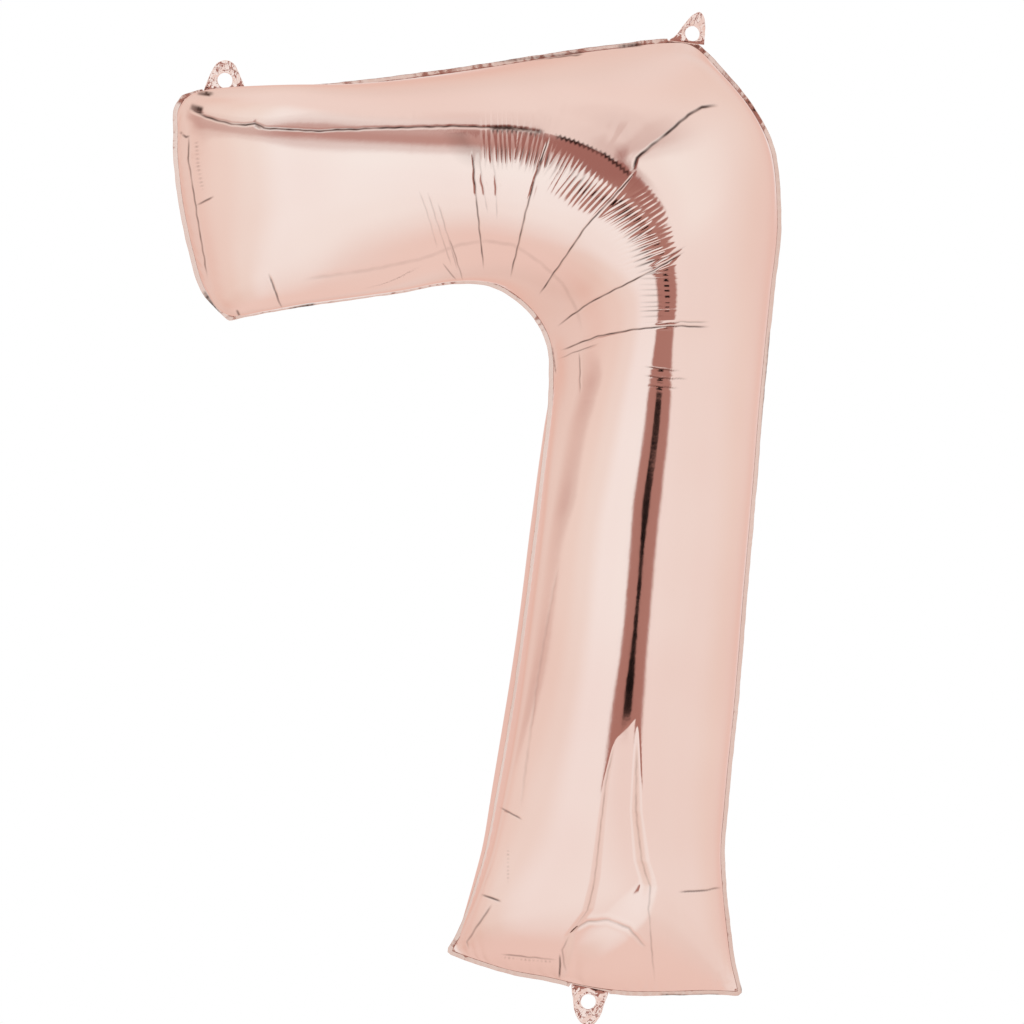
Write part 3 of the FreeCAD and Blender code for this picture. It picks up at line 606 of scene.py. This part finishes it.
for ob, f in ((p_front, painted_fold_shade), (p_back, painted_fold_shade_b)):
    at = ob.data.attributes.new("painted_fold_shade", "FLOAT", "POINT")
    at.data.foreach_set("value", np.clip(f, 0, 1).astype(np.float32).ravel())


# ------------------------------------------------------------------ welded margin
TABS = {
    "tab_left": dict(c=(-317.2, 790.9), angle=4.2, side=1, hole=(0.81, 8.07), seed=4,
        outline=[(-18.2, 0.7), (-16.4, 4.5), (-13.9, 9.6), (-9.8, 17.1), (-4.9, 23.3), (2.3, 25.3),
                 (9.1, 22.3), (12.5, 15.5), (15.5, 7.4), (17.5, 0.7)]),
    "tab_right": dict(c=(85.6, 838.2), angle=-6.0, side=1, hole=(5.75, 8.25), seed=9,
        outline=[(-14.0, 0.7), (-10.4, 3.4), (-7.0, 7.6), (-4.1, 12.6), (-1.1, 17.4), (2.3, 22.4),
                 (5.9, 25.9), (10.1, 27.8), (14.0, 24.6), (16.4, 15.4), (16.8, 6.8), (17.2, 0.7)]),
    "tail": dict(c=(1.6, 12.0), angle=-12.9, side=-1, hole=(1.12, 12.05), seed=15,
        outline=[(-17.0, 0.7), (-15.9, 4.4), (-12.8, 12.7), (-9.4, 21.7), (-4.6, 28.6), (0.7, 32.3),
                 (5.8, 32.5), (10.1, 30.2), (13.3, 24.5), (15.2, 12.4), (16.9, 0.7)]),
}


def tab_frame(t):
    a = math.radians(t["angle"])
    u = np.array([math.cos(a), math.sin(a)])
    return np.array(t["c"]), u, np.array([-u[1], u[0]]) * t["side"]


def seam_loop(step):
    """the weld line as one closed loop at an even step, with outward normals"""
    g = FRONT[..., [0, 2]]
    loop = np.concatenate([g[-1, :-1], g[::-1, -1][:-1], g[0, ::-1][:-1], g[:, 0][:-1]])
    ln = np.concatenate([[0], np.cumsum(np.linalg.norm(np.diff(np.vstack([loop, loop[:1]]), axis=0), axis=1))])
    n = int(ln[-1] / step)
    at = np.linspace(0, ln[-1], n, endpoint=False)
    lp = np.vstack([loop, loop[:1]])
    p = np.stack([np.interp(at, ln, lp[:, k]) for k in (0, 1)], -1)
    d = np.roll(p, -1, 0) - np.roll(p, 1, 0)
    for _ in range(2):
        d = np.roll(d, 1, 0) + 2 * d + np.roll(d, -1, 0)
    d /= np.linalg.norm(d, axis=1)[:, None]
    return p, np.stack([d[:, 1], -d[:, 0]], -1), at


def weld_margin():
    p, n, at = seam_loop(1.2)
    cols = np.array([-0.9, 0.4, 1.5, 2.6, 3.6, 4.0])
    rows = []
    w = 0.55 + 0.45 * wiggle(at / 37.0, 31)
    wave = np.sin(2 * math.pi * (at / 7.6 + 0.4 * wiggle(at / 31.0, 12)))
    curl = 0.35 * wiggle(at / 11.0, 45)
    lean_back = (0.27 + 0.05 * wiggle(at / 26.0, 77)) * -np.tanh((n[:, 1] - 0.55) * 9)
    for c in cols:
        q = p + n * c * (1 + 0.05 * wiggle(at / 17.0, 8))[:, None]
        y = (wave * w * 0.26 + curl * 0.4) * max(c, 0) / 4.0 + lean_back * max(c, 0)
        for t in TABS.values():
            o, u, v = tab_frame(t)
            a, b = (q - o) @ u, (q - o) @ v
            us = [k[0] for k in t["outline"]]
            inside = (a > min(us) - 1) & (a < max(us) + 1) & (b > -0.2) & (b < 12)
            q = np.where(inside[:, None], q - v * (b + 0.2)[:, None], q)
            y = np.where((a > min(us) - 4) & (a < max(us) + 4) & (np.abs(b) < 8), y * 0.45, y)
        rows.append(np.stack([q[:, 0], y, q[:, 1]], -1))
    top = np.stack(rows, 1)                       # (n, cols, 3)
    k, m = top.shape[:2]
    th = 0.11
    f, b = top - [0, th, 0], top + [0, th, 0]
    verts = np.concatenate([f.reshape(-1, 3), b.reshape(-1, 3)])
    faces = []
    i = np.arange(k)
    j = (i + 1) % k
    for c in range(m - 1):
        faces.append(np.stack([i * m + c, i * m + c + 1, j * m + c + 1, j * m + c], -1))
        o = k * m
        faces.append(np.stack([o + i * m + c, o + j * m + c, o + j * m + c + 1, o + i * m + c + 1], -1))
    o = k * m
    faces.append(np.stack([i * m + m - 1, o + i * m + m - 1, o + j * m + m - 1, j * m + m - 1], -1))
    faces.append(np.stack([i * m, j * m, o + j * m, o + i * m], -1))
    ob = mesh_object("weld_margin", verts * MM, np.concatenate(faces))
    # painted shade along the rim where it folds under, kept as a point attribute
    at_ = ob.data.attributes.new("painted_fold_shade", "FLOAT", "POINT")
    at_.data.foreach_set("value", painted_rim_shade(seen(verts)).astype(np.float32))
    return ob


margin = weld_margin()


# ------------------------------------------------------------------ tabs
def closed_spline(pts, n):
    """an open smooth curve through pts (the outline from root corner to root corner)"""
    p = np.array(pts, float)
    ln = np.concatenate([[0], np.cumsum(np.linalg.norm(np.diff(p, axis=0), axis=1))])
    tab = [(l, *q) for l, q in zip(ln, p)]
    return curve_at(tab, np.linspace(0, ln[-1], n))


def tab_mesh(name, t):
    o, u, v = tab_frame(t)
    edge = closed_spline(t["outline"], 240)
    edge[:, 1] = np.maximum(edge[:, 1], 0.0)
    edge[0, 1] = edge[-1, 1] = -0.3
    root = np.stack([np.linspace(edge[-1, 0], edge[0, 0], 60)[1:-1], np.full(58, -0.3)], -1)
    poly = np.vstack([edge, root])
    h = np.array(t["hole"])
    nphi, nr = ((300, 22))
    phi = np.linspace(0, 2 * math.pi, nphi, endpoint=False)
    dirs = np.stack([np.cos(phi), np.sin(phi)], -1)
    a, b = poly, np.roll(poly, -1, 0)
    far = np.zeros(nphi)
    for i, d in enumerate(dirs):
        e = b - a
        den = d[0] * e[:, 1] - d[1] * e[:, 0]
        w = a - h
        with np.errstate(divide="ignore", invalid="ignore"):
            r = (w[:, 0] * e[:, 1] - w[:, 1] * e[:, 0]) / den
            k = (w[:, 0] * d[1] - w[:, 1] * d[0]) / den
        ok = (np.abs(den) > 1e-9) & (k >= -1e-6) & (k <= 1 + 1e-6) & (r > 0)
        far[i] = r[ok].min() if ok.any() else 8.0
    q = np.linspace(0, 1, nr) ** 0.9
    # the rim of the hole is slightly out of round, as film torn by a die is
    hr = 6.5 * (1 + 0.012 * np.sin(2 * phi + t["seed"]) + 0.008 * np.sin(5 * phi))
    rad = hr[:, None] + (far - hr)[:, None] * q[None]
    ab = h + dirs[:, None] * rad[..., None]
    r = np.random.RandomState(t["seed"])
    x, z = ab[..., 0], ab[..., 1]
    y = np.zeros_like(x)
    for k in range(22):                              # crossing sharp folds
        th = r.uniform(0, math.pi)
        f = r.uniform(0.35, 1.5)
        ph = r.uniform(0, 6.28)
        s = (x * math.cos(th) + z * math.sin(th)) * f + ph
        y += r.uniform(0.14, 0.34) / f * (np.abs(((s / math.pi) % 2) - 1) - 0.5)
    y += 0.5 * np.sin(x / 11.0 + t["seed"]) * (z / 25.0)
    ring = np.exp(-((rad - hr[:, None] - 1.2) / 1.0) ** 2)
    y -= 0.16 * ring
    y *= smooth01(z / 7.0) * 0.9 + 0.1 * smooth01(z / 2.0)
    y *= 1.25
    w = o + ab[..., 0:1] * u + ab[..., 1:2] * v
    mid = np.stack([w[..., 0], y, w[..., 1]], -1)
    th = 0.09
    f, bk = mid - [0, th, 0], mid + [0, th, 0]
    verts = np.concatenate([f.reshape(-1, 3), bk.reshape(-1, 3)])
    faces = []
    i = np.arange(nphi)
    j = (i + 1) % nphi
    off = nphi * nr
    for c in range(nr - 1):
        faces.append(np.stack([i * nr + c, i * nr + c + 1, j * nr + c + 1, j * nr + c], -1))
        faces.append(np.stack([off + i * nr + c, off + j * nr + c, off + j * nr + c + 1, off + i * nr + c + 1], -1))
    for c in (0, nr - 1):
        faces.append(np.stack([i * nr + c, j * nr + c, off + j * nr + c, off + i * nr + c], -1))
    ob = mesh_object(name, verts * MM, np.concatenate(faces))
    return ob


tab_objects = {}
for key, t in TABS.items():
    ob = tab_mesh(key + "_film", t)
    o, u, v = tab_frame(t)
    a, b = o - v * 0.6, o + v * 2.2
    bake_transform(ob)
    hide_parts(key + "_front_ply", key + "_back_ply")
    tab_objects[key] = ob


# ------------------------------------------------------------------ materials
def nodes_of(name):
    m = bpy.data.materials.new(name)
    m.use_nodes = True
    nt_ = m.node_tree
    return m, nt_, nt_.nodes["Principled BSDF"], nt_.nodes["Material Output"]


def add(tree, kind, **values):
    n = tree.nodes.new(kind)
    for k, v in values.items():
        if k in n.inputs:
            n.inputs[k].default_value = v
        else:
            setattr(n, k, v)
    return n


def foil(name, pale, deep, rough, bump, speck):
    m, t, bsdf, out = nodes_of(name)
    L = t.links.new
    pos = t.nodes.new("ShaderNodeTexCoord")
    big = add(t, "ShaderNodeTexNoise", Scale=5.0, Detail=2.0, Roughness=0.5)
    fineN = add(t, "ShaderNodeTexNoise", Scale=520.0, Detail=3.0, Roughness=0.6)
    mid = add(t, "ShaderNodeTexNoise", Scale=60.0, Detail=3.0, Roughness=0.55)
    for n in (big, fineN, mid):
        L(pos.outputs["Object"], n.inputs["Vector"])
    ramp = t.nodes.new("ShaderNodeValToRGB")
    ramp.color_ramp.elements[0].position, ramp.color_ramp.elements[0].color = 0.30, (*deep, 1)
    ramp.color_ramp.elements[1].position, ramp.color_ramp.elements[1].color = 0.72, (*pale, 1)
    L(big.outputs["Fac"], ramp.inputs["Fac"])
    # painted shade: the point attribute mixes the base colour towards near-black in creases, pleat valleys and along
    # the folded-under rim
    painted_shade_attr = t.nodes.new("ShaderNodeAttribute")
    painted_shade_attr.attribute_name = "painted_fold_shade"
    shade_mix = t.nodes.new("ShaderNodeMix")
    shade_mix.data_type = "RGBA"
    shade_mix.inputs[7].default_value = (0.035, 0.013, 0.010, 1)
    L(painted_shade_attr.outputs["Fac"], shade_mix.inputs[0])
    L(ramp.outputs["Color"], shade_mix.inputs[6])
    L(shade_mix.outputs[2], bsdf.inputs["Base Color"])
    mr = t.nodes.new("ShaderNodeMapRange")
    mr.inputs["From Min"].default_value, mr.inputs["From Max"].default_value = 0.3, 0.7
    mr.inputs["To Min"].default_value, mr.inputs["To Max"].default_value = rough * 0.75, rough * 1.25
    L(mid.outputs["Fac"], mr.inputs["Value"])
    L(mr.outputs["Result"], bsdf.inputs["Roughness"])
    add_ = t.nodes.new("ShaderNodeMath")
    add_.operation = "MULTIPLY_ADD"
    add_.inputs[1].default_value = speck
    L(fineN.outputs["Fac"], add_.inputs[0])
    L(mid.outputs["Fac"], add_.inputs[2])
    bp = t.nodes.new("ShaderNodeBump")
    bp.inputs["Strength"].default_value = 1.0
    bp.inputs["Distance"].default_value = bump
    L(add_.outputs["Value"], bp.inputs["Height"])
    L(bp.outputs["Normal"], bsdf.inputs["Normal"])
    bsdf.inputs["Metallic"].default_value = 1.0
    bsdf.inputs["Specular Tint"].default_value = (0.92, 0.67, 0.60, 1)
    return m


PALE, DEEP = (0.90, 0.70, 0.63), (0.86, 0.62, 0.55)
skin = foil("rose_gold_foil", PALE, DEEP, 0.07, 0.00006, 0.12)
# the weld's colours are set darker than the skin's: painted shade along the rim; its rougher crimped finish is the
# weld's own
crimp = foil("rose_gold_weld", (0.80, 0.59, 0.52), (0.70, 0.48, 0.41), 0.12, 0.00025, 0.3)
crinkle = foil("rose_gold_tab", PALE, DEEP, 0.10, 0.00015, 0.2)

film, t, bsdf, out = nodes_of("valve_film_milky")
n = add(t, "ShaderNodeTexNoise", Scale=90.0, Detail=2.0)
c = t.nodes.new("ShaderNodeTexCoord")
t.links.new(c.outputs["Object"], n.inputs["Vector"])
r = t.nodes.new("ShaderNodeValToRGB")
r.color_ramp.elements[0].color = (0.70, 0.74, 0.76, 1)
r.color_ramp.elements[1].color = (0.86, 0.88, 0.89, 1)
t.links.new(n.outputs["Fac"], r.inputs["Fac"])
t.links.new(r.outputs["Color"], bsdf.inputs["Base Color"])
bsdf.inputs["Roughness"].default_value = 0.35
bsdf.inputs["Transmission Weight"].default_value = 0.4

for ob in (p_front, p_back):
    ob.visible_glossy = False     # the skins show the lamps only, not one another
for ob, mat, slot in ((p_front, skin, "foil_skin"), (p_back, skin, "foil_skin"), (margin, crimp, "foil_weld")):
    ob.data.materials.append(mat)
    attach(ob, "envelope")
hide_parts("front_panel")
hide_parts("back_panel")
margin.visible_glossy = False
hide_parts("front_weld_margin", "back_weld_margin")
for ob in tab_objects.values():
    ob.visible_glossy = False
    ob.data.materials.append(crinkle)
for n_ in ("valve_front_film", "valve_back_film"):
    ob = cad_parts[n_]
    ob.data.materials.clear()
    ob.data.materials.append(film)

# ------------------------------------------------------------------ floor
rings, spokes, R = 24, 96, 6.5
fv, ff = [(0.0, 0.0, 0.0)], []
for i in range(1, rings + 1):
    for j in range(spokes):
        a = 2 * math.pi * j / spokes
        fv.append((R * i / rings * math.cos(a), R * i / rings * math.sin(a), 0.0))
for j in range(spokes):
    ff.append((0, 1 + j, 1 + (j + 1) % spokes))
for i in range(rings - 1):
    for j in range(spokes):
        a, b = 1 + i * spokes + j, 1 + i * spokes + (j + 1) % spokes
        ff.append((a, a + spokes, b + spokes, b))
me = bpy.data.meshes.new("floor")
me.from_pydata(fv, [], ff)
floor = bpy.data.objects.new("floor", me)
scene.collection.objects.link(floor)
floor.location = (0, 0, -0.95)
fm, t, bsdf, out = nodes_of("floor_pale")
n = add(t, "ShaderNodeTexNoise", Scale=3.0, Detail=4.0)
r = t.nodes.new("ShaderNodeValToRGB")
r.color_ramp.elements[0].color = (0.86, 0.85, 0.84, 1)
r.color_ramp.elements[1].color = (0.92, 0.91, 0.90, 1)
t.links.new(n.outputs["Fac"], r.inputs["Fac"])
t.links.new(r.outputs["Color"], bsdf.inputs["Base Color"])
bsdf.inputs["Roughness"].default_value = 0.7
floor.data.materials.append(fm)
floor.visible_glossy = False      # the foil mirrors the lamps, not the edge of the floor

# ------------------------------------------------------------------ studio light
world = bpy.data.worlds.new("studio")
scene.world = world
world.use_nodes = True
t = world.node_tree
t.nodes.clear()
L = t.links.new
gen = t.nodes.new("ShaderNodeTexCoord").outputs["Generated"]


def vmath(op, a, b):
    n = t.nodes.new("ShaderNodeVectorMath")
    n.operation = op
    L(a, n.inputs[0])
    n.inputs[1].default_value = b
    return n.outputs["Value"]


def m_(op, a, b=None, c=None, clamp=False):
    n = t.nodes.new("ShaderNodeMath")
    n.operation = op
    n.use_clamp = clamp
    for k, v in enumerate((a, b, c)):
        if v is None:
            continue
        if isinstance(v, (int, float)):
            n.inputs[k].default_value = v
        else:
            L(v, n.inputs[k])
    return n.outputs[0]


def ramp(value, lo_, hi_, stops, interp="EASE"):
    f = m_("DIVIDE", m_("SUBTRACT", value, float(lo_)), float(hi_ - lo_), clamp=True)
    n = t.nodes.new("ShaderNodeValToRGB")
    n.color_ramp.interpolation = interp
    els = n.color_ramp.elements
    while len(els) < len(stops):
        els.new(0.5)
    for e, (p, col) in zip(els, stops):
        e.position = (p - lo_) / (hi_ - lo_)
        e.color = (*(col if isinstance(col, tuple) else (col, col, col)), 1)
    L(f, n.inputs["Fac"])
    return n.outputs["Color"]


def mix(kind, fac, a, b):
    n = t.nodes.new("ShaderNodeMix")
    n.data_type = "RGBA"
    n.blend_type = kind
    for k, v in (("Factor", fac), ("A", a), ("B", b)):
        s = [i for i in n.inputs if i.name == k and (k == "Factor" and i.type == "VALUE" or k != "Factor" and i.type == "RGBA")][0]
        if isinstance(v, (int, float)):
            s.default_value = v
        elif isinstance(v, tuple):
            s.default_value = (*v, 1)
        else:
            L(v, s)
    return [o for o in n.outputs if o.type == "RGBA"][0]


right = (math.cos(YAW), -math.sin(YAW), 0)
toward = (-math.sin(YAW), -math.cos(YAW), 0)
az = m_("MULTIPLY", m_("ARCTAN2", vmath("DOT_PRODUCT", gen, right), vmath("DOT_PRODUCT", gen, toward)), 180 / math.pi)
el = m_("MULTIPLY", m_("ARCSINE", vmath("DOT_PRODUCT", gen, (0, 0, 1))), 180 / math.pi)
def az_curve(stops):
    """a value in degrees that changes with the compass direction"""
    return m_("MULTIPLY", ramp(az, -180, 180, [(a, v / 100.0) for a, v in stops], "LINEAR"), 100.0)


def el_curve(stops):
    return m_("MULTIPLY", ramp(el, -90, 90, [(a, v / 100.0) for a, v in stops], "LINEAR"), 100.0)


light = ramp(az, -180, 180, [
    (-180, (0.93, 0.93, 0.93)), (-130, (0.90, 0.85, 0.83)), (-110, (0.905, 0.83, 0.80)), (-90, (0.91, 0.80, 0.76)),
    (-62, (0.94, 0.885, 0.855)), (-40, (0.965, 0.97, 0.96)), (-20, (1.02, 1.11, 1.15)), (2, (1.025, 1.13, 1.17)),
    (30, (0.98, 1.0, 1.01)), (60, (0.966, 0.975, 0.977)), (80, (0.96, 0.955, 0.955)), (115, (0.94, 0.91, 0.89)),
    (150, (0.94, 0.98, 1.0)), (180, (0.93, 0.93, 0.93))])
light = mix("MULTIPLY", 1.0, light, ramp(el, -90, 90, [
    (-90, (0.92, 0.85, 0.82)), (-70, (0.945, 0.88, 0.86)), (-52, (0.95, 0.885, 0.86)), (-36, (0.98, 0.95, 0.935)),
    (-18, (0.995, 0.985, 0.98)), (-6, (1.0, 1.0, 1.0)), (14, (1.01, 1.03, 1.03)), (40, (1.01, 1.04, 1.04)),
    (62, (1.0, 1.0, 0.99)), (90, (0.98, 0.97, 0.96))]))
# straight up and straight down the compass direction no longer matters
light = mix("MIX", ramp(el, -90, 90, [(-90, 1.0), (-76, 1.0), (-46, 0.0), (90, 0.0)]), light, (0.93, 0.82, 0.785))
light = mix("MIX", ramp(el, -90, 90, [(-90, 0.0), (58, 0.0), (78, 1.0), (90, 1.0)]), light, (0.965, 0.945, 0.935))
# a brighter patch of the right-hand lamp
glow = m_("MULTIPLY", ramp(az, -180, 180, [(-180, 0.0), (38, 0.0), (58, 1.0), (72, 1.0), (98, 0.0), (180, 0.0)]),
          ramp(el, -90, 90, [(-90, 0.0), (-4, 0.0), (18, 1.0), (40, 1.0), (54, 0.0), (90, 0.0)]))
light = mix("MULTIPLY", glow, light, (1.03, 1.07, 1.08))
# the upper edge of the left-hand lamp: a soft shade that climbs towards the middle
v = m_("SUBTRACT", el, az_curve([(-180, 12), (-78, 16), (-50, 22), (-30, 27), (-15, 35), (-5, 40), (5, 45), (12, 48), (50, 50), (180, 50)]))
below = m_("DIVIDE", m_("MULTIPLY", v, -1.0), az_curve([(-180, 12), (-78, 13), (-50, 8), (-30, 10), (-15, 20), (-5, 23), (5, 19), (12, 16), (50, 12), (180, 12)]))
above = m_("DIVIDE", v, az_curve([(-180, 20), (-78, 20), (-30, 20), (-15, 24), (-5, 30), (5, 34), (12, 38), (50, 34), (180, 30)]))
shade = m_("MINIMUM", ramp(below, 0, 1, [(0, 1.0), (0.15, 1.0), (0.6, 0.42), (1, 0.0)]),
           ramp(above, 0, 1, [(0, 1.0), (0.3, 0.85), (0.5, 0.36), (0.72, 0.18), (1, 0.0)]))
shade = m_("MULTIPLY", shade, ramp(az, -180, 180, [(-180, 0.0), (-112, 0.0), (-78, 0.66), (-40, 0.62), (-16, 0.92), (8, 0.9), (26, 0.5), (50, 0.42), (92, 0.0), (180, 0.0)]))
light = mix("MIX", shade, light, (0.52, 0.31, 0.28))
# the dark gap between the two lamps
wide = el_curve([(-90, 15), (-6, 15), (0, 12.5), (4, 12), (14, 9.5), (26, 10.0), (38, 8.5), (60, 8.5), (90, 8.5)])
off = m_("SUBTRACT", az, el_curve([(-90, 17.5), (-2, 17.5), (4, 19), (14, 25), (26, 20.0), (38, 16.8), (50, 14.5), (60, 13), (90, 13)]))
off = m_("DIVIDE", off, wide)
left = ramp(off, -2, 0, [(-2, 0.0), (-1.16, 0.0), (-0.86, 1.0), (0, 1.0)])
fall = ramp(el, -90, 90, [(-90, 0.0), (16, 0.0), (30, 1.0), (90, 1.0)])
near_r = ramp(off, 0, 4, [(0, 1.0), (0.86, 1.0), (1.16, 0.0), (4, 0.0)])
far_r = ramp(off, 0, 4, [(0, 1.0), (0.8, 1.0), (1.15, 0.45), (1.7, 0.0), (4, 0.0)])
strip = m_("MULTIPLY", left, mix("MIX", fall, near_r, far_r))
strip = m_("MULTIPLY", strip, ramp(el, -90, 90, [(-90, 0.0), (-21.5, 0.0), (-18.5, 1.0), (50, 1.0), (64, 0.0), (90, 0.0)]))
light = mix("MIX", strip, light, ramp(el, -90, 90, [(-90, (0.48, 0.28, 0.25)), (8, (0.46, 0.26, 0.23)), (26, (0.39, 0.195, 0.175)), (90, (0.41, 0.21, 0.19))]))
half = el_curve([(-90, 4.0), (-3.5, 3.8), (-0.8, 2.0), (3, 0.8), (90, 0.8)])
core = m_("DIVIDE", m_("ABSOLUTE", m_("SUBTRACT", az, 17.5)), half)
core = m_("MULTIPLY", ramp(core, 0, 2, [(0, 1.0), (0.85, 1.0), (1.2, 0.0), (2, 0.0)]),
          ramp(el, -90, 90, [(-90, 0.0), (-8.4, 0.0), (-7.2, 1.0), (0.0, 1.0), (2.5, 0.0), (90, 0.0)]))
light = mix("MIX", core, light, (0.01, 0.008, 0.008))

seen_by_camera = t.nodes.new("ShaderNodeLightPath").outputs["Is Camera Ray"]
bg = t.nodes.new("ShaderNodeBackground")
L(mix("MIX", seen_by_camera, light, (1.0, 1.0, 1.0)), bg.inputs["Color"])
bg.inputs["Strength"].default_value = 1.0
out = t.nodes.new("ShaderNodeOutputWorld")
L(bg.outputs["Background"], out.inputs["Surface"])

# ------------------------------------------------------------------ camera
cam_data = bpy.data.cameras.new("camera")
cam_data.sensor_width = 36.0
cam_data.lens = 36.0 * DIST / 0.8909
cam_data.clip_start, cam_data.clip_end = 0.05, 60
cam = bpy.data.objects.new("camera", cam_data)
scene.collection.objects.link(cam)
cam.location = CAM
cam.rotation_mode = "QUATERNION"
cam.rotation_quaternion = Vector(BACK * -1).to_track_quat("-Z", "Y")
scene.camera = cam
scene.view_settings.view_transform = "Standard"
scene.view_settings.look = "None"
